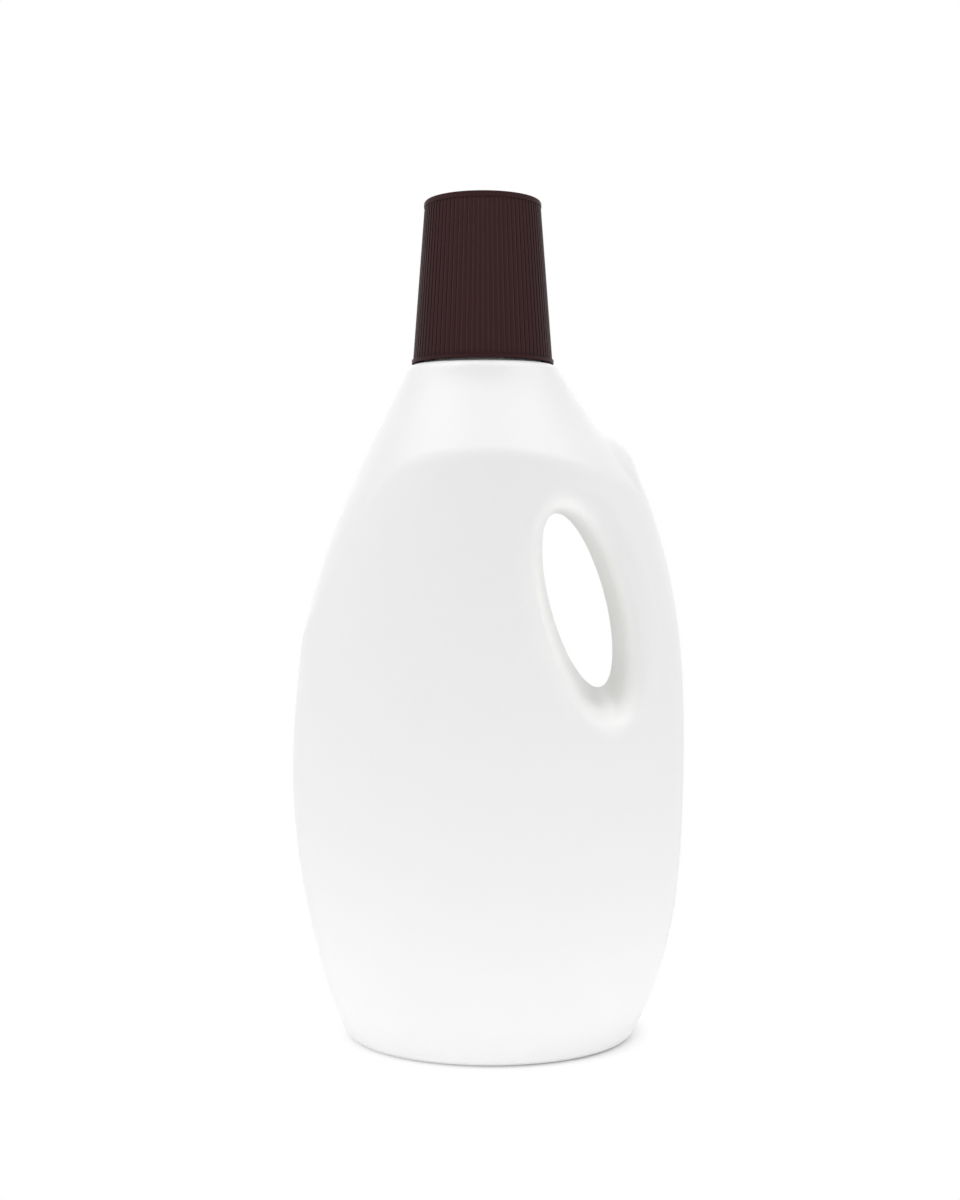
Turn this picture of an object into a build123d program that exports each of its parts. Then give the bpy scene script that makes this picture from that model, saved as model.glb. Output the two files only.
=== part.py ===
"""Two-litre liquid detergent bottle: a blown bottle with a through-handle, its pour spout and measuring cap.

Millimetres. +Z is up, the bottle stands on z = 0, +X points to the handle and the front faces -Y.
"""

import os
from collections import namedtuple
from math import tan, radians

from build123d import *

# One level cross-section of the body: an oval between two side points, with its half depth.
# Its station is its height as a share of the shoulder's height.
Oval = namedtuple("Oval", "station left right depth")

# Body walls
WALL = 1.1
BASE_WALL = 1.6

# Barrel: the long oval body with its broad front and back panels, from the foot upwards
BARREL = [
    Oval(0, -52.6, 53.6, 39.5),
    Oval(0.14, -64.8, 67.2, 44.2),
    Oval(0.28, -71.4, 72.0, 46.8),
    Oval(0.42, -73.0, 73.0, 47.6),
    Oval(0.56, -70.5, 72.0, 48.0),
    Oval(0.70, -65.4, 66.9, 47.8),
    Oval(0.84, -53.0, 55.5, 46.9),
    Oval(1.02, -34.0, 36.0, 45.0),
]
HEEL_RADIUS = 5.0

# Base: a foot ring round a shallow push-up
FOOT_RING_WIDTH = 6.0
PUSH_UP_HEIGHT = 3.5
PUSH_UP_SLOPE = 7.0

# Shoulder: the round cone that trims the barrel and leaves an arched crease on each panel
SHOULDER = [
    Oval(0.47, -76.5, 84.0, 60.0),
    Oval(0.56, -71.6, 82.0, 60.0),
    Oval(0.66, -65.3, 76.5, 58.5),
    Oval(0.76, -57.2, 65.2, 56.0),
    Oval(0.867, -45.9, 47.7, 46.6),
    Oval(0.93, -38.1, 36.4, 35.2),
]
SHOULDER_HEIGHT = 250.3
SHOULDER_RADIUS = 27.2
SHOULDER_ROUNDING = 3.5
CREASE_RADIUS = 8.0

# Handle: a rounded hump at the top, and a leaning opening drafted from the mid plane, most at its lower end
HUMP_X = 36.0
HUMP_STATION = 0.779
HUMP_HALF_HEIGHT = 31.2
HUMP_RADIUS = 25.0
HUMP_BLEND = 7.0
HANDLE_LEAN = 15.0
HOLE_X = 33.1
HOLE_STATION = 0.653
HOLE_HALF_LENGTH = 33.5
HOLE_HALF_WIDTH = 10.3
HOLE_DRAFT = 7.0
HOLE_DROP = 4.0
RIM_RADIUS = 7.0

# Neck finish, on an axis a little to the left of the body's middle
NECK_X = -2.2
NECK_RADIUS = 21.3
NECK_BORE_RADIUS = 19.2
NECK_HEIGHT = 16.5

# Pour spout: a drain-back insert that sits in the neck
SPOUT_FIT = 0.1
SPOUT_WALL = 1.2
SPOUT_FLANGE = 1.2
WELL_DEPTH = 11.0
WELL_FALL = 1.5
SPOUT_RADIUS = 10.0
SPOUT_RISE = 16.0
SPOUT_SLANT = 32.0
DRAIN_SLOT_WIDTH = 5.0
DRAIN_SLOT_CUT = 4.0

# Measuring cap: a tapered cup, turned over, that stands on the spout's flange by an inner ring.
# Upright grooves between its lip and the band round its crown give the fingers grip.
CAP_GAP = 0.6
CAP_HEIGHT = 59.1
CAP_WALL = 1.5
CAP_ROOF = 1.6
CAP_THREAD_ROOM = 3.0
CAP_LIP_STEP = 0.4
CAP_LIP_HEIGHT = 1.3
CAP_TOP_RADIUS = 21.2
CAP_BAND_HEIGHT = 2.2
CAP_BAND_STEP = 0.2
CAP_CROWN_RADIUS = 1.2
CAP_SEAT_WIDTH = 4.0
CAP_SEAT_HEIGHT = 1.4
GROOVE_COUNT = 80
GROOVE_WIDTH = 0.7
GROOVE_DEPTH = 0.3

hump_level = HUMP_STATION * SHOULDER_HEIGHT
hole_level = HOLE_STATION * SHOULDER_HEIGHT
neck_top = SHOULDER_HEIGHT + NECK_HEIGHT
seat_level = neck_top + SPOUT_FLANGE
cap_foot = SHOULDER_HEIGHT + CAP_GAP
neck_axis = Axis((NECK_X, 0, 0), (0, 0, 1))


def neck_plane(height):
    """The upright plane through the neck's axis: x is the radius, y the height above the given level."""
    return Plane(origin=(NECK_X, 0, height), x_dir=(1, 0, 0), z_dir=(0, -1, 0))


def oval_loft(ovals, inset):
    """A smooth loft through level ovals, each drawn in by the inset."""
    with BuildPart() as form:
        for oval in ovals:
            with BuildSketch(Plane.XY.offset(oval.station * SHOULDER_HEIGHT)):
                with Locations(((oval.left + oval.right) / 2, 0)):
                    Ellipse((oval.right - oval.left) / 2 - inset, oval.depth - inset)
        loft()
    return form.part


def barrel(inset, floor):
    """The oval barrel, cut off at its floor and rounded at the heel."""
    with BuildPart() as form:
        add(oval_loft(BARREL, inset))
        split(bisect_by=Plane.XY.offset(floor), keep=Keep.TOP)
        fillet(form.edges().group_by(Axis.Z)[0], HEEL_RADIUS - inset)
    return form.part


def push_up(growth):
    """The hollow under the base, inside the foot ring."""
    foot = BARREL[0]
    rim = HEEL_RADIUS + FOOT_RING_WIDTH - growth
    ring = Oval(-growth / SHOULDER_HEIGHT, foot.left + rim, foot.right - rim, foot.depth - rim)
    crown = ring._replace(
        station=(PUSH_UP_HEIGHT + growth) / SHOULDER_HEIGHT,
        left=ring.left + PUSH_UP_SLOPE,
        right=ring.right - PUSH_UP_SLOPE,
        depth=ring.depth - PUSH_UP_SLOPE,
    )
    return oval_loft([ring, crown], 0)


def handle_opening(growth):
    """The opening through the handle: a leaning oval that widens and drops towards the front and the back."""
    upright = Plane(origin=(HOLE_X, 0, hole_level), x_dir=(1, 0, 0), z_dir=(0, -1, 0))
    leaning = upright.rotated((0, -HANDLE_LEAN, 0))
    outside = 1.2 * max(oval.depth for oval in BARREL)
    with BuildPart() as form:
        for reach in (0, outside):
            spread = growth + reach * tan(radians(HOLE_DRAFT))
            drop = reach * tan(radians(HOLE_DROP))
            with BuildSketch(leaning.offset(reach)):
                with Locations((0, -drop)):
                    Ellipse(HOLE_HALF_WIDTH + spread, HOLE_HALF_LENGTH + spread)
        loft()
        mirror(about=Plane.XZ)
    return form.part


def body_form(inset, floor):
    """The closed body without its neck: shoulder and hump trim the barrel, then the handle is opened."""
    top = 1 - inset / SHOULDER_HEIGHT
    rim = Oval(top, NECK_X - SHOULDER_RADIUS, NECK_X + SHOULDER_RADIUS, SHOULDER_RADIUS)
    cone = oval_loft(SHOULDER + [rim], inset)
    trunk = barrel(inset, floor)
    opening = handle_opening(inset)
    hollow = push_up(inset)
    with BuildPart() as form:
        add(cone)
        fillet(form.edges().group_by(Axis.Z)[-1], SHOULDER_ROUNDING - inset)
        extrude(form.faces().sort_by(Axis.Z)[0], amount=SHOULDER_HEIGHT)
        with BuildSketch(Plane.XZ):
            with Locations((HUMP_X, hump_level)):
                Ellipse(HUMP_RADIUS - inset, HUMP_HALF_HEIGHT - inset)
            split(bisect_by=Plane.YZ.offset(HUMP_X), keep=Keep.TOP)
        revolve(axis=Axis((HUMP_X, 0, hump_level), (0, 0, 1)))
        fillet(form.edges(Select.NEW), HUMP_BLEND + inset)
        add(trunk, mode=Mode.INTERSECT)
        fillet(form.edges(Select.NEW), CREASE_RADIUS - inset)
        add(opening, mode=Mode.SUBTRACT)
        fillet(form.edges(Select.NEW), RIM_RADIUS - inset)
        add(hollow, mode=Mode.SUBTRACT)
    return form.part


outer_form = body_form(0, 0)
inner_form = body_form(WALL, BASE_WALL)

# The bottle: one blown piece, hollow right round the handle
with BuildPart() as bottle:
    add(outer_form)
    with BuildSketch(Plane.XY.offset(SHOULDER_HEIGHT - WALL)):
        with Locations((NECK_X, 0)):
            Circle(NECK_RADIUS)
    extrude(amount=NECK_HEIGHT + WALL)
    add(inner_form, mode=Mode.SUBTRACT)
    with BuildSketch(Plane.XY.offset(neck_top)):
        with Locations((NECK_X, 0)):
            Circle(NECK_BORE_RADIUS)
    extrude(amount=-NECK_HEIGHT - 2 * WALL, mode=Mode.SUBTRACT)

# The pour spout: a skirt and flange in the neck, a sloping well, and a slanted tube with a drain slot
skirt_radius = NECK_BORE_RADIUS - SPOUT_FIT
well_radius = skirt_radius - SPOUT_WALL
bore_radius = SPOUT_RADIUS - SPOUT_WALL
drain_level = -WELL_DEPTH - WELL_FALL
spout_tip = SPOUT_FLANGE + SPOUT_RISE
slant_fall = 2 * SPOUT_RADIUS * tan(radians(SPOUT_SLANT))
with BuildPart() as pour_spout:
    with BuildSketch(neck_plane(neck_top)):
        with BuildLine():
            Polyline(
                (NECK_RADIUS, 0),
                (NECK_RADIUS, SPOUT_FLANGE),
                (well_radius, SPOUT_FLANGE),
                (well_radius, -WELL_DEPTH),
                (SPOUT_RADIUS, drain_level),
                (SPOUT_RADIUS, spout_tip),
                (bore_radius, spout_tip),
                (bore_radius, drain_level - SPOUT_WALL),
                (skirt_radius, -WELL_DEPTH - SPOUT_WALL),
                (skirt_radius, 0),
                close=True,
            )
        make_face()
    revolve(axis=neck_axis)
    with BuildSketch(neck_plane(neck_top)):
        with BuildLine():
            Polyline(
                (-SPOUT_RADIUS, spout_tip),
                (SPOUT_RADIUS, spout_tip),
                (SPOUT_RADIUS, spout_tip - slant_fall),
                close=True,
            )
        make_face()
    extrude(amount=SPOUT_RADIUS, both=True, mode=Mode.SUBTRACT)
    with BuildSketch(Plane.XY.offset(neck_top + drain_level)):
        with Locations((NECK_X + SPOUT_RADIUS, 0)):
            Rectangle(DRAIN_SLOT_CUT, DRAIN_SLOT_WIDTH)
    extrude(amount=spout_tip - drain_level, mode=Mode.SUBTRACT)

# The measuring cap: a tapered cup with a lip at its mouth, closed side up
mouth_inside = NECK_RADIUS + CAP_THREAD_ROOM
mouth_radius = mouth_inside + CAP_WALL
lip_radius = mouth_radius + CAP_LIP_STEP
taper = (mouth_radius - CAP_TOP_RADIUS) / CAP_HEIGHT
band_foot = CAP_HEIGHT - CAP_BAND_HEIGHT
lip_wall = mouth_radius - taper * CAP_LIP_HEIGHT
band_wall = mouth_radius - taper * band_foot
band_radius = band_wall + CAP_BAND_STEP
crown_inside = CAP_TOP_RADIUS - CAP_WALL
seat_wall = mouth_inside - taper * (seat_level - cap_foot)


def grip_groove(turn):
    """One upright groove in the cap's wall, turned round the neck's axis."""
    with BuildPart() as form:
        with BuildSketch(neck_plane(cap_foot)):
            with BuildLine():
                Polyline(
                    (lip_wall - GROOVE_DEPTH, CAP_LIP_HEIGHT),
                    (lip_radius, CAP_LIP_HEIGHT),
                    (lip_radius, band_foot),
                    (band_wall - GROOVE_DEPTH, band_foot),
                    close=True,
                )
            make_face()
        extrude(amount=GROOVE_WIDTH / 2, both=True)
    return form.part.rotate(neck_axis, turn)


grooves = [grip_groove(360 * place / GROOVE_COUNT) for place in range(GROOVE_COUNT)]
with BuildPart() as measuring_cap:
    with BuildSketch(neck_plane(cap_foot)):
        with BuildLine():
            Polyline(
                (mouth_inside, 0),
                (lip_radius, 0),
                (lip_radius, CAP_LIP_HEIGHT),
                (lip_wall, CAP_LIP_HEIGHT),
                (band_wall, band_foot),
                (band_radius, band_foot),
                (band_radius, CAP_HEIGHT),
                (0, CAP_HEIGHT),
                (0, CAP_HEIGHT - CAP_ROOF),
                (crown_inside, CAP_HEIGHT - CAP_ROOF),
                close=True,
            )
        make_face()
    revolve(axis=neck_axis)
    fillet(measuring_cap.edges().group_by(Axis.Z)[-1], CAP_CROWN_RADIUS)
    add(grooves, mode=Mode.SUBTRACT)
    with BuildSketch(neck_plane(seat_level)):
        with BuildLine():
            Polyline(
                (seat_wall + CAP_WALL / 2, 0),
                (seat_wall - CAP_SEAT_WIDTH, 0),
                (seat_wall - CAP_SEAT_WIDTH, CAP_SEAT_HEIGHT),
                (seat_wall + CAP_WALL / 2 - taper * CAP_SEAT_HEIGHT, CAP_SEAT_HEIGHT),
                close=True,
            )
        make_face()
    revolve(axis=neck_axis)

bottle.part.label = "bottle"
pour_spout.part.label = "pour_spout"
measuring_cap.part.label = "measuring_cap"

os.makedirs("parts", exist_ok=True)
export_step(bottle.part, "parts/bottle.step")
export_step(pour_spout.part, "parts/pour_spout.step")
export_step(measuring_cap.part, "parts/measuring_cap.step")
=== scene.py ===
"""Studio look of a detergent bottle: blown white body, drain-back spout, ribbed brown measuring cap.

Metres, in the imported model's own frame: +Z is up, the bottle stands on z = 0, the handle is at +X
and the front panel faces -Y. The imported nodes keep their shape; this file adds their finish, the
screw threads, the floor, the lights and the camera.
"""

import math

import bpy
from bpy.props import FloatProperty, PointerProperty, StringProperty
from bpy.types import Operator, Panel, PropertyGroup
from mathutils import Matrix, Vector


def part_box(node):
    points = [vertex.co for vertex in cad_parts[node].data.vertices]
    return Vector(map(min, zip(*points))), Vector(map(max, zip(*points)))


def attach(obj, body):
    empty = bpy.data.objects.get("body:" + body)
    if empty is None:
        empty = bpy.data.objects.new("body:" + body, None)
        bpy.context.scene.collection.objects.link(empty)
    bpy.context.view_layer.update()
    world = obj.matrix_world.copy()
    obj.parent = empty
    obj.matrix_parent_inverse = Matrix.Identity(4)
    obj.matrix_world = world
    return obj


bl_info = {
    "name": "Detergent Bottle Look",
    "version": (1, 0, 0),
    "blender": (4, 5, 0),
    "location": "View3D > Sidebar > Detergent Bottle",
    "description": "Finishes, threads and studio stage for a moulded detergent bottle",
    "category": "Object",
}

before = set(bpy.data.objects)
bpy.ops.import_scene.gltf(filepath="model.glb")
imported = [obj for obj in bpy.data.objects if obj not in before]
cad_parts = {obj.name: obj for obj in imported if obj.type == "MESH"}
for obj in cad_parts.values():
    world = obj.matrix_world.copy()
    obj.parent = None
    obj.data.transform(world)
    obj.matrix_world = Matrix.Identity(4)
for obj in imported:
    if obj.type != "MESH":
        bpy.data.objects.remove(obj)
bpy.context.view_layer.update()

MM = 0.001

# An oval between the edge of the finger opening and the outside of its rim, within which the body is
# painted whiter, as painted light in the opening's shade. It runs through the body along Y, so its
# size there is only a number too large to matter.
OPENING_MIDDLE = (33.8 * MM, 0.0, 160.9 * MM)
OPENING_LEAN = math.radians(-15)
OPENING_HALF_SIZE = (14.5 * MM, 1000.0, 39.0 * MM)

CAP_LOW, CAP_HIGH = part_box("measuring_cap")
CAP_AXIS = (CAP_LOW.x + CAP_HIGH.x) / 2

# The cap's grooved wall, from the top of its lip to the underside of its crown band.
WALL_FOOT, WALL_TOP = CAP_LOW.z + 1.3 * MM, CAP_HIGH.z - 2.2 * MM
WALL_FOOT_RADIUS, WALL_TOP_RADIUS = 25.70 * MM, 21.38 * MM
GROOVE_DEPTH = 0.3 * MM

# Width of the faint clouds in the spout's plastic, about 4.5 mm.
SPOUT_CLOUD_WIDTH = 1 / 220

# How finely the threads are wound, how far from a thread's tip its end reaches, the share of the
# ridge's height that is left there, and the distance within which its points are merged.
STEPS_PER_TURN = 96
TIP_REACH = 2.0 * MM
TIP_SHARE = 0.1
MERGE_DISTANCE = 0.001 * MM
SMOOTH_ANGLE = math.radians(30)

# Sockets of the Mix node, which has two inputs and an output for each kind of value.
VECTOR_A, VECTOR_B, VECTOR_RESULT = 4, 5, 1
COLOUR_A, COLOUR_B, COLOUR_RESULT = 6, 7, 2

# Half width and half depth of the base where it meets the table, and how far the oval of its shadow
# is moved to the right and back, as a share of them.
FOOT_X, FOOT_Y = 48.0 * MM, 34.5 * MM
FOOT_SHIFT = 0.05

# The table glows most round a place in front of the bottle.
GLOW_PLACE = (0.0, -0.22, 0.0)
GLOW_STRENGTH = 0.51

WHITE = "#FFFFFF"
TABLE_COLOUR = "#F4F4F4"

# Strength of the world's white for the rays that light the bottle. The lens sees it at 1.
WORLD_FILL = 0.555

# In millimetres, as the lens length is.
SENSOR_WIDTH = 36.0

# Name, place, width, height and watts of each soft box, and the point that they all face.
SOFT_BOXES = (
    ("top_box", (0.0, -0.2, 1.3), 0.9, 0.9, 1.7),
    ("left_box", (-0.85, -0.25, 1.3), 1.0, 1.0, 7.0),
    ("right_box", (0.85, -0.25, 1.3), 1.0, 1.0, 6.0),
    ("back_box", (0.0, 1.5, 0.5), 2.0, 1.6, 7.5),
)
SOFT_BOX_TARGET = (0.0, 0.0, 0.16)


class BottleFinish(PropertyGroup):
    """Colours and surface grain of the moulded plastics."""

    body_colour: StringProperty(
        name="Body", description="White of the blown polyethylene body, as sRGB hex", default="#F2F2F2"
    )
    # Painted light: a whiter body colour round the finger opening, standing in for light through the thin
    # wall.
    opening_painted_light: StringProperty(
        name="Opening", description="Whiter body colour round the finger opening, as sRGB hex",
        default="#FEFEFC"
    )
    spout_colour: StringProperty(
        name="Spout", description="Unpigmented polyethylene of the pour spout, as sRGB hex",
        default="#E9E8E2"
    )
    spout_cloud: StringProperty(
        name="Spout cloud", description="Darker clouds in the spout's polyethylene, as sRGB hex",
        default="#DFDED6"
    )
    cap_colour: StringProperty(
        name="Cap", description="Dark brown of the polypropylene cap, as sRGB hex", default="#351F21"
    )
    # Painted light: the paler brown lifts the shade that falls in the cap's grooves.
    groove_painted_light: StringProperty(
        name="Cap grooves", description="Paler brown in the cap's grip grooves, as sRGB hex",
        default="#4F3739"
    )
    body_grain: FloatProperty(
        name="Body grain", description="Width of the blasted mould's grain on the body",
        default=0.9 * MM, unit="LENGTH", precision=5
    )
    seam_width: FloatProperty(
        name="Seam width", description="Width of the line where the blow mould's halves meet",
        default=0.5 * MM, unit="LENGTH", precision=5
    )
    cap_grain: FloatProperty(
        name="Cap grain", description="Width of the eroded mould's grain on the cap",
        default=0.35 * MM, unit="LENGTH", precision=5
    )


class ScrewThread(PropertyGroup):
    """The coarse thread on the neck and its counterpart in the cap, measured from the neck's axis."""

    pitch: FloatProperty(
        name="Pitch", description="Rise of the thread in one turn",
        default=4.5 * MM, unit="LENGTH", precision=5
    )
    turns: FloatProperty(name="Turns", description="How far the thread goes round", default=1.5, min=0.2)
    root_width: FloatProperty(
        name="Root width", description="Height of the ridge at its root",
        default=2.2 * MM, unit="LENGTH", precision=5
    )
    crest_width: FloatProperty(
        name="Crest width", description="Height of the ridge at its crest",
        default=0.9 * MM, unit="LENGTH", precision=5
    )
    neck_root: FloatProperty(
        name="Neck root", description="Radius where the neck's ridge starts, just inside the neck",
        default=21.1 * MM, unit="LENGTH", precision=5
    )
    neck_crest: FloatProperty(
        name="Neck crest", description="Radius of the neck's ridge",
        default=22.2 * MM, unit="LENGTH", precision=5
    )
    cap_root: FloatProperty(
        name="Cap root", description="Radius where the cap's ridge starts, inside the cap's wall",
        default=24.2 * MM, unit="LENGTH", precision=5
    )
    cap_crest: FloatProperty(
        name="Cap crest", description="Radius of the cap's ridge, clear of the neck's as the cap lifts",
        default=22.6 * MM, unit="LENGTH", precision=5
    )
    foot: FloatProperty(
        name="Foot", description="Height of the neck's ridge over the cap's mouth",
        default=4.0 * MM, unit="LENGTH", precision=5
    )


class StudioStage(PropertyGroup):
    """Camera and floor of the plain white studio."""

    camera_distance: FloatProperty(
        name="Camera distance", description="From the bottle's axis to the lens, along the floor",
        default=0.5512, unit="LENGTH"
    )
    camera_height: FloatProperty(
        name="Camera height", description="Lens above the floor", default=0.1953, unit="LENGTH"
    )
    camera_side: FloatProperty(
        name="Camera side", description="Lens to the right of the bottle's middle",
        default=-0.0032, unit="LENGTH"
    )
    camera_pitch: FloatProperty(
        name="Camera pitch", description="How far the lens looks down",
        default=math.radians(3.287), subtype="ANGLE"
    )
    focal_length: FloatProperty(
        name="Focal length", description="Lens length on a 36 mm wide sensor, in millimetres",
        default=44.4
    )
    floor_size: FloatProperty(
        name="Floor size", description="Side of the square floor", default=6.0, unit="LENGTH"
    )


def linear(code):
    """An sRGB hex colour as linear red, green, blue and alpha."""
    channels = [int(code[place:place + 2], 16) / 255 for place in (1, 3, 5)]
    return [c / 12.92 if c <= 0.04045 else ((c + 0.055) / 1.055) ** 2.4 for c in channels] + [1.0]


def add_node(tree, kind, settings=None, inputs=None):
    """A node with its settings; an input that is a socket is linked, any other value is set."""
    node = tree.nodes.new(kind)
    for name, value in (settings or {}).items():
        setattr(node, name, value)
    for name, value in (inputs or {}).items():
        if isinstance(value, bpy.types.NodeSocket):
            tree.links.new(value, node.inputs[name])
        else:
            node.inputs[name].default_value = value
    return node


def new_material(name):
    """A node material and its tree, emptied for new nodes."""
    material = bpy.data.materials.new(name)
    material.use_nodes = True
    material.node_tree.nodes.clear()
    return material, material.node_tree


def dress(name, material):
    """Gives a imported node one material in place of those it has."""
    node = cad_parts[name]
    node.data.materials.clear()
    node.data.materials.append(material)


def blown_polyethylene(finish):
    """White pigmented HDPE from a blasted blow mould: satin, some light under the skin, faint grain.

    The whiter colour round the finger opening stands in for light that comes through the thin wall.
    """
    material, tree = new_material("blown_white_hdpe")
    place = add_node(tree, "ShaderNodeTexCoord")
    opening = add_node(
        tree, "ShaderNodeMapping", {"vector_type": "TEXTURE"},
        {
            "Vector": place.outputs["Object"], "Location": OPENING_MIDDLE,
            "Rotation": (0, OPENING_LEAN, 0), "Scale": OPENING_HALF_SIZE,
        },
    )
    from_opening = add_node(
        tree, "ShaderNodeVectorMath", {"operation": "LENGTH"}, {0: opening.outputs["Vector"]}
    )
    near_opening = add_node(
        tree, "ShaderNodeMapRange", {"interpolation_type": "SMOOTHSTEP"},
        {
            "Value": from_opening.outputs["Value"],
            "From Min": 0.90, "From Max": 1.20, "To Min": 1.0, "To Max": 0.0,
        },
    )
    # Painted light: the body's colour is whitened round the finger opening.
    white = add_node(
        tree, "ShaderNodeMix", {"data_type": "RGBA"},
        {
            "Factor": near_opening.outputs["Result"],
            COLOUR_A: linear(finish.body_colour), COLOUR_B: linear(finish.opening_painted_light),
        },
    )
    grain = add_node(
        tree, "ShaderNodeTexNoise", {},
        {"Vector": place.outputs["Object"], "Scale": 1 / finish.body_grain, "Detail": 2.0},
    )
    skin = add_node(
        tree, "ShaderNodeBump", {},
        {"Height": grain.outputs["Fac"], "Strength": 0.06, "Distance": 0.05 * MM},
    )
    axes = add_node(tree, "ShaderNodeSeparateXYZ", {}, {"Vector": place.outputs["Object"]})
    from_seam = add_node(tree, "ShaderNodeMath", {"operation": "ABSOLUTE"}, {0: axes.outputs["Y"]})
    seam = add_node(
        tree, "ShaderNodeMapRange", {"interpolation_type": "SMOOTHSTEP"},
        {
            "Value": from_seam.outputs["Value"], "From Max": finish.seam_width / 2,
            "To Min": 1.0, "To Max": 0.0,
        },
    )
    parted = add_node(
        tree, "ShaderNodeBump", {},
        {
            "Height": seam.outputs["Result"], "Strength": 1.0, "Distance": 0.12 * MM,
            "Normal": skin.outputs["Normal"],
        },
    )
    polish = add_node(
        tree, "ShaderNodeMapRange", {},
        {
            "Value": grain.outputs["Fac"],
            "From Min": 0.3, "From Max": 0.7, "To Min": 0.40, "To Max": 0.46,
        },
    )
    plastic = add_node(
        tree, "ShaderNodeBsdfPrincipled", {},
        {
            "Base Color": white.outputs[COLOUR_RESULT], "Roughness": polish.outputs["Result"],
            "IOR": 1.54, "Subsurface Weight": 0.5, "Subsurface Radius": (1.0, 1.0, 1.0),
            "Subsurface Scale": 2.0 * MM, "Normal": parted.outputs["Normal"],
        },
    )
    add_node(tree, "ShaderNodeOutputMaterial", {}, {"Surface": plastic.outputs["BSDF"]})
    return material


def natural_polyethylene(finish):
    """Unpigmented LDPE, injection moulded: waxy and milky, with some light under the skin."""
    material, tree = new_material("natural_ldpe")
    place = add_node(tree, "ShaderNodeTexCoord")
    cloud = add_node(
        tree, "ShaderNodeTexNoise", {},
        {"Vector": place.outputs["Object"], "Scale": 1 / SPOUT_CLOUD_WIDTH, "Detail": 2.0},
    )
    milk = add_node(
        tree, "ShaderNodeMix", {"data_type": "RGBA"},
        {
            "Factor": cloud.outputs["Fac"],
            COLOUR_A: linear(finish.spout_colour), COLOUR_B: linear(finish.spout_cloud),
        },
    )
    polish = add_node(
        tree, "ShaderNodeMapRange", {}, {"Value": cloud.outputs["Fac"], "To Min": 0.28, "To Max": 0.40}
    )
    plastic = add_node(
        tree, "ShaderNodeBsdfPrincipled", {},
        {
            "Base Color": milk.outputs[COLOUR_RESULT], "Roughness": polish.outputs["Result"],
            "IOR": 1.51, "Subsurface Weight": 0.5, "Subsurface Radius": (1.0, 1.0, 0.9),
            "Subsurface Scale": 2.5 * MM,
        },
    )
    add_node(tree, "ShaderNodeOutputMaterial", {}, {"Surface": plastic.outputs["BSDF"]})
    return material


def moulded_polypropylene(finish):
    """Dark brown PP from an eroded mould, with a fine dull grain.

    The grooves are painted paler, painted light that lifts the shade falling in them, and the ribs are
    shaded blunter than they are, so that they show about as faintly as in the photograph.
    """
    material, tree = new_material("dark_brown_pp")
    place = add_node(tree, "ShaderNodeTexCoord")
    surface = add_node(tree, "ShaderNodeNewGeometry")
    across = add_node(
        tree, "ShaderNodeVectorMath", {"operation": "MULTIPLY_ADD"},
        {0: place.outputs["Object"], 1: (1.0, 1.0, 0.0), 2: (-CAP_AXIS, 0.0, 0.0)},
    )
    outward = add_node(
        tree, "ShaderNodeVectorMath", {"operation": "NORMALIZE"}, {0: across.outputs["Vector"]}
    )
    facing = add_node(
        tree, "ShaderNodeVectorMath", {"operation": "DOT_PRODUCT"},
        {0: surface.outputs["Normal"], 1: outward.outputs["Vector"]},
    )
    blunt = add_node(
        tree, "ShaderNodeMapRange", {"interpolation_type": "SMOOTHSTEP"},
        {
            "Value": facing.outputs["Value"],
            "From Min": 0.3, "From Max": 0.7, "To Min": 0.0, "To Max": 0.85,
        },
    )
    axes = add_node(tree, "ShaderNodeSeparateXYZ", {}, {"Vector": place.outputs["Object"]})
    wall = add_node(
        tree, "ShaderNodeMapRange", {},
        {
            "Value": axes.outputs["Z"], "From Min": WALL_FOOT, "From Max": WALL_TOP,
            "To Min": WALL_FOOT_RADIUS, "To Max": WALL_TOP_RADIUS,
        },
    )
    radius = add_node(
        tree, "ShaderNodeVectorMath", {"operation": "LENGTH"}, {0: across.outputs["Vector"]}
    )
    sunk = add_node(
        tree, "ShaderNodeMath", {"operation": "SUBTRACT"},
        {0: wall.outputs["Result"], 1: radius.outputs["Value"]},
    )
    groove = add_node(
        tree, "ShaderNodeMapRange", {},
        {"Value": sunk.outputs["Value"], "From Max": GROOVE_DEPTH, "To Max": 1.0},
    )
    # Painted light: the grooves' colour is paled, most on the outer wall, to lift the shade in them.
    pale = add_node(
        tree, "ShaderNodeMath", {"operation": "MULTIPLY"},
        {0: groove.outputs["Result"], 1: blunt.outputs["Result"]},
    )
    brown = add_node(
        tree, "ShaderNodeMix", {"data_type": "RGBA"},
        {
            "Factor": pale.outputs["Value"],
            COLOUR_A: linear(finish.cap_colour), COLOUR_B: linear(finish.groove_painted_light),
        },
    )
    grain = add_node(
        tree, "ShaderNodeTexNoise", {},
        {"Vector": place.outputs["Object"], "Scale": 1 / finish.cap_grain, "Detail": 3.0},
    )
    skin = add_node(
        tree, "ShaderNodeBump", {},
        {"Height": grain.outputs["Fac"], "Strength": 0.12, "Distance": 0.05 * MM},
    )
    rib = add_node(
        tree, "ShaderNodeMix", {"data_type": "VECTOR"},
        {
            "Factor": blunt.outputs["Result"],
            VECTOR_A: skin.outputs["Normal"], VECTOR_B: outward.outputs["Vector"],
        },
    )
    soft = add_node(
        tree, "ShaderNodeVectorMath", {"operation": "NORMALIZE"}, {0: rib.outputs[VECTOR_RESULT]}
    )
    plastic = add_node(
        tree, "ShaderNodeBsdfPrincipled", {},
        {
            "Base Color": brown.outputs[COLOUR_RESULT], "Roughness": 0.5, "IOR": 1.49,
            "Specular IOR Level": 0.08, "Normal": soft.outputs["Vector"],
        },
    )
    add_node(tree, "ShaderNodeOutputMaterial", {}, {"Surface": plastic.outputs["BSDF"]})
    return material


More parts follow.
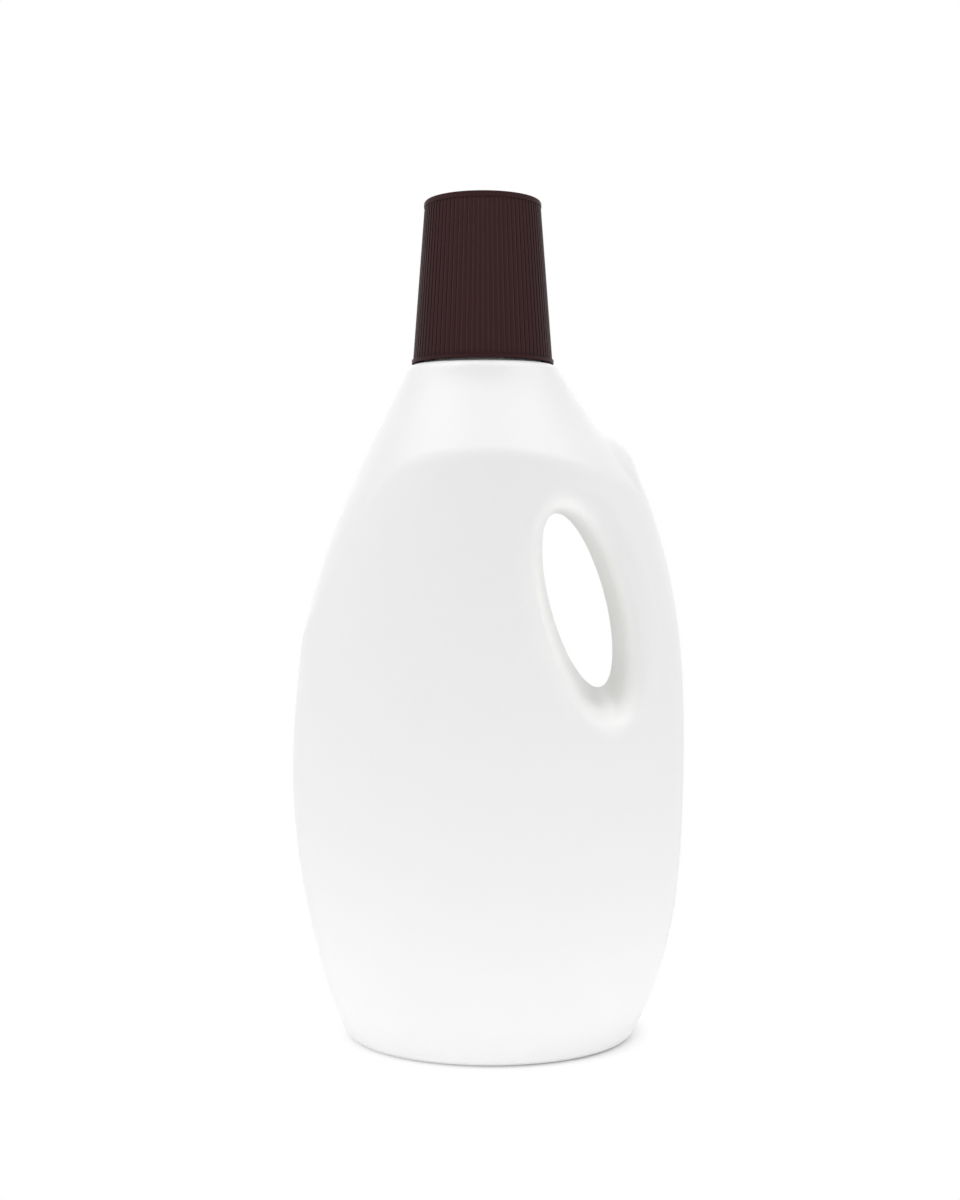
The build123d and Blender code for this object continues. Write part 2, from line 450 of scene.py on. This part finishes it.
def pick(piece, wanted):
    """Selects a piece's vertices by their place and leaves it in edit mode."""
    bpy.ops.object.mode_set(mode="EDIT")
    bpy.ops.mesh.select_mode(type="VERT")
    bpy.ops.mesh.select_all(action="DESELECT")
    bpy.ops.object.mode_set(mode="OBJECT")
    for vertex in piece.data.vertices:
        vertex.select = wanted(vertex.co)
    if not any(vertex.select for vertex in piece.data.vertices):
        raise RuntimeError("no vertex of " + piece.name + " lies there")
    bpy.ops.object.mode_set(mode="EDIT")


def near_tip(tip, height):
    """A test for points beside the tip of a thread, within a height above and below it."""
    def test(point):
        return abs(point.z - tip.z) < height and (point.xy - tip.xy).length < TIP_REACH
    return test


def wind_thread(name, root, crest, foot, thread):
    """A trapezoid ridge wound round the neck's axis, with its ends run out into the wall it stands on."""
    bpy.ops.object.select_all(action="DESELECT")
    bpy.ops.mesh.primitive_plane_add(size=1, rotation=(math.pi / 2, 0, 0))
    ridge = bpy.context.object
    ridge.name = name
    bpy.ops.object.transform_apply(location=False, rotation=True, scale=False)
    bpy.ops.object.mode_set(mode="EDIT")
    bpy.ops.mesh.select_all(action="SELECT")
    bpy.ops.transform.resize(value=(abs(crest - root), 1, thread.root_width), center_override=(0, 0, 0))
    bpy.ops.transform.translate(value=((root + crest) / 2, 0, foot))
    bpy.ops.mesh.delete(type="ONLY_FACE")
    pick(ridge, lambda point: abs(point.x - crest) < abs(point.x - root))
    narrowing = thread.crest_width / thread.root_width
    bpy.ops.transform.resize(value=(1, 1, narrowing), center_override=(0, 0, foot))
    bpy.ops.object.mode_set(mode="OBJECT")

    sweep = 2 * math.pi * thread.turns
    rise = thread.pitch * thread.turns
    bpy.ops.object.modifier_add(type="SCREW")
    screw = ridge.modifiers[-1]
    screw.angle = sweep
    screw.screw_offset = rise
    screw.steps = screw.render_steps = round(STEPS_PER_TURN * thread.turns)
    bpy.ops.object.modifier_apply(modifier=screw.name)

    run_out = (root + TIP_SHARE * (crest - root)) / crest
    for level, turn in ((foot, 0.0), (foot + rise, sweep)):
        tip = Vector((crest * math.cos(turn), crest * math.sin(turn), level))
        pick(ridge, near_tip(tip, thread.crest_width))
        bpy.ops.transform.resize(value=(run_out, run_out, 1), center_override=(0, 0, 0))
    bpy.ops.mesh.select_all(action="SELECT")
    bpy.ops.mesh.fill_holes(sides=4)
    bpy.ops.mesh.select_all(action="SELECT")
    bpy.ops.mesh.remove_doubles(threshold=MERGE_DISTANCE)
    bpy.ops.mesh.normals_make_consistent(inside=False)
    bpy.ops.object.mode_set(mode="OBJECT")
    ridge.location.x = CAP_AXIS
    bpy.ops.object.transform_apply(location=True, rotation=False, scale=False)
    bpy.ops.object.shade_smooth_by_angle(angle=SMOOTH_ANGLE)
    return ridge


class DETERGENT_OT_bottle(Operator):
    """Gives the blown bottle its satin white polyethylene and its neck thread"""

    bl_idname = "detergent.bottle"
    bl_label = "Finish Bottle"

    def execute(self, context):
        thread = context.scene.screw_thread
        plastic = blown_polyethylene(context.scene.bottle_finish)
        dress("bottle", plastic)
        foot = CAP_LOW.z + thread.foot
        ridge = wind_thread("neck_thread", thread.neck_root, thread.neck_crest, foot, thread)
        ridge.data.materials.append(plastic)
        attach(ridge, "bottle")
        return {"FINISHED"}


class DETERGENT_OT_pour_spout(Operator):
    """Gives the pour spout its milky polyethylene"""

    bl_idname = "detergent.pour_spout"
    bl_label = "Finish Pour Spout"

    def execute(self, context):
        dress("pour_spout", natural_polyethylene(context.scene.bottle_finish))
        return {"FINISHED"}


class DETERGENT_OT_measuring_cap(Operator):
    """Gives the measuring cap its dark brown polypropylene and its inner thread"""

    bl_idname = "detergent.measuring_cap"
    bl_label = "Finish Measuring Cap"

    def execute(self, context):
        thread = context.scene.screw_thread
        plastic = moulded_polypropylene(context.scene.bottle_finish)
        dress("measuring_cap", plastic)
        foot = CAP_LOW.z + thread.foot + thread.pitch / 2
        ridge = wind_thread("cap_thread", thread.cap_root, thread.cap_crest, foot, thread)
        ridge.data.materials.append(plastic)
        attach(ridge, "cap")
        return {"FINISHED"}


def seen_rays(tree):
    """A socket that is 1 for camera, glossy and transmission rays, and 0 for all others."""
    rays = add_node(tree, "ShaderNodeLightPath")
    shiny = add_node(
        tree, "ShaderNodeMath", {"operation": "MAXIMUM"},
        {0: rays.outputs["Is Camera Ray"], 1: rays.outputs["Is Glossy Ray"]},
    )
    direct = add_node(
        tree, "ShaderNodeMath", {"operation": "MAXIMUM"},
        {0: shiny.outputs["Value"], 1: rays.outputs["Is Transmission Ray"]},
    )
    return direct.outputs["Value"]


def lit_table():
    """A white table, as the lens and reflections see it and as it lights the bottle.

    The lens and reflections see a shadowed board close round the foot and plain white beyond it. For
    all other rays it is that board with a glow in front of the bottle, which lights it from below.
    """
    material, tree = new_material("lit_white_table")
    place = add_node(tree, "ShaderNodeTexCoord")
    about = add_node(
        tree, "ShaderNodeVectorMath", {"operation": "MULTIPLY_ADD"},
        {
            0: place.outputs["Object"], 1: (1 / FOOT_X, 1 / FOOT_Y, 0.0),
            2: (-FOOT_SHIFT, -FOOT_SHIFT, 0.0),
        },
    )
    away = add_node(tree, "ShaderNodeVectorMath", {"operation": "LENGTH"}, {0: about.outputs["Vector"]})
    ahead = add_node(
        tree, "ShaderNodeVectorMath", {"operation": "DISTANCE"},
        {0: place.outputs["Object"], 1: GLOW_PLACE},
    )
    glow = add_node(
        tree, "ShaderNodeMapRange", {"interpolation_type": "SMOOTHSTEP"},
        {
            "Value": ahead.outputs["Value"],
            "From Min": 0.12, "From Max": 0.52, "To Min": GLOW_STRENGTH, "To Max": 0.0,
        },
    )
    clear = add_node(
        tree, "ShaderNodeMapRange", {"interpolation_type": "SMOOTHSTEP"},
        {"Value": away.outputs["Value"], "From Min": 1.0, "From Max": 1.5},
    )
    upward = add_node(
        tree, "ShaderNodeMath", {"operation": "MULTIPLY"},
        {0: glow.outputs["Result"], 1: clear.outputs["Result"]},
    )
    plain = add_node(
        tree, "ShaderNodeMapRange", {"interpolation_type": "SMOOTHSTEP"},
        {"Value": away.outputs["Value"], "From Min": 1.02, "From Max": 1.26},
    )
    board = add_node(tree, "ShaderNodeBsdfDiffuse", {}, {"Color": linear(TABLE_COLOUR)})
    light = add_node(
        tree, "ShaderNodeEmission", {}, {"Color": linear(WHITE), "Strength": upward.outputs["Value"]}
    )
    lit = add_node(
        tree, "ShaderNodeAddShader", {}, {0: board.outputs["BSDF"], 1: light.outputs["Emission"]}
    )
    white = add_node(tree, "ShaderNodeEmission", {}, {"Color": linear(WHITE), "Strength": 1.0})
    seen = add_node(
        tree, "ShaderNodeMixShader", {},
        {0: plain.outputs["Result"], 1: board.outputs["BSDF"], 2: white.outputs["Emission"]},
    )
    table = add_node(
        tree, "ShaderNodeMixShader", {},
        {0: seen_rays(tree), 1: lit.outputs["Shader"], 2: seen.outputs["Shader"]},
    )
    add_node(tree, "ShaderNodeOutputMaterial", {}, {"Surface": table.outputs["Shader"]})
    return material


def studio_world(scene):
    """Soft fill from all round, with a plain white backdrop for the lens and for reflections."""
    world = bpy.data.worlds.new("studio")
    scene.world = world
    world.use_nodes = True
    tree = world.node_tree
    tree.nodes.clear()
    strength = add_node(
        tree, "ShaderNodeMapRange", {}, {"Value": seen_rays(tree), "To Min": WORLD_FILL, "To Max": 1.0}
    )
    sky = add_node(
        tree, "ShaderNodeBackground", {},
        {"Color": linear(WHITE), "Strength": strength.outputs["Result"]},
    )
    add_node(tree, "ShaderNodeOutputWorld", {}, {"Surface": sky.outputs["Background"]})


def soft_box(name, place, width, height, power):
    """A rectangular area lamp that faces the bottle and that the lens does not see."""
    lamp = bpy.data.lights.new(name, "AREA")
    lamp.shape = "RECTANGLE"
    lamp.size = width
    lamp.size_y = height
    lamp.energy = power
    holder = bpy.data.objects.new(name, lamp)
    bpy.context.scene.collection.objects.link(holder)
    holder.location = place
    toward = Vector(SOFT_BOX_TARGET) - Vector(place)
    holder.rotation_euler = toward.to_track_quat("-Z", "Y").to_euler()
    holder.visible_camera = False


class DETERGENT_OT_stage(Operator):
    """Sets up the world, the white floor, the soft boxes and the camera"""

    bl_idname = "detergent.stage"
    bl_label = "Set Up Stage"

    def execute(self, context):
        scene = context.scene
        stage = scene.studio_stage
        scene.view_settings.view_transform = "Standard"
        studio_world(scene)

        bpy.ops.object.select_all(action="DESELECT")
        bpy.ops.mesh.primitive_plane_add(size=stage.floor_size)
        floor = context.object
        floor.name = "floor"
        floor.data.materials.append(lit_table())

        for box in SOFT_BOXES:
            soft_box(*box)

        camera = bpy.data.cameras.new("camera")
        camera.lens = stage.focal_length
        camera.sensor_width = SENSOR_WIDTH
        holder = bpy.data.objects.new("camera", camera)
        scene.collection.objects.link(holder)
        holder.location = (stage.camera_side, -stage.camera_distance, stage.camera_height)
        holder.rotation_euler = (math.radians(90) - stage.camera_pitch, 0, 0)
        scene.camera = holder
        return {"FINISHED"}


class DETERGENT_PT_look(Panel):
    """Lists the steps that dress the bottle, and their settings"""

    bl_idname = "DETERGENT_PT_look"
    bl_label = "Detergent Bottle"
    bl_space_type = "VIEW_3D"
    bl_region_type = "UI"
    bl_category = "Detergent Bottle"

    def draw(self, context):
        for step in STEPS:
            self.layout.operator(step.bl_idname)
        scene = context.scene
        for group in (scene.bottle_finish, scene.screw_thread, scene.studio_stage):
            for name in group.__annotations__:
                self.layout.prop(group, name)


STEPS = (
    DETERGENT_OT_bottle,
    DETERGENT_OT_pour_spout,
    DETERGENT_OT_measuring_cap,
    DETERGENT_OT_stage,
)
GROUPS = (BottleFinish, ScrewThread, StudioStage)


def register():
    for item in GROUPS + STEPS + (DETERGENT_PT_look,):
        bpy.utils.register_class(item)
    bpy.types.Scene.bottle_finish = PointerProperty(type=BottleFinish)
    bpy.types.Scene.screw_thread = PointerProperty(type=ScrewThread)
    bpy.types.Scene.studio_stage = PointerProperty(type=StudioStage)


def unregister():
    del bpy.types.Scene.studio_stage
    del bpy.types.Scene.screw_thread
    del bpy.types.Scene.bottle_finish
    for item in reversed(GROUPS + STEPS + (DETERGENT_PT_look,)):
        bpy.utils.unregister_class(item)


def main():
    register()
    bpy.ops.detergent.bottle()
    bpy.ops.detergent.pour_spout()
    bpy.ops.detergent.measuring_cap()
    bpy.ops.detergent.stage()


if __name__ == "__main__":
    main()
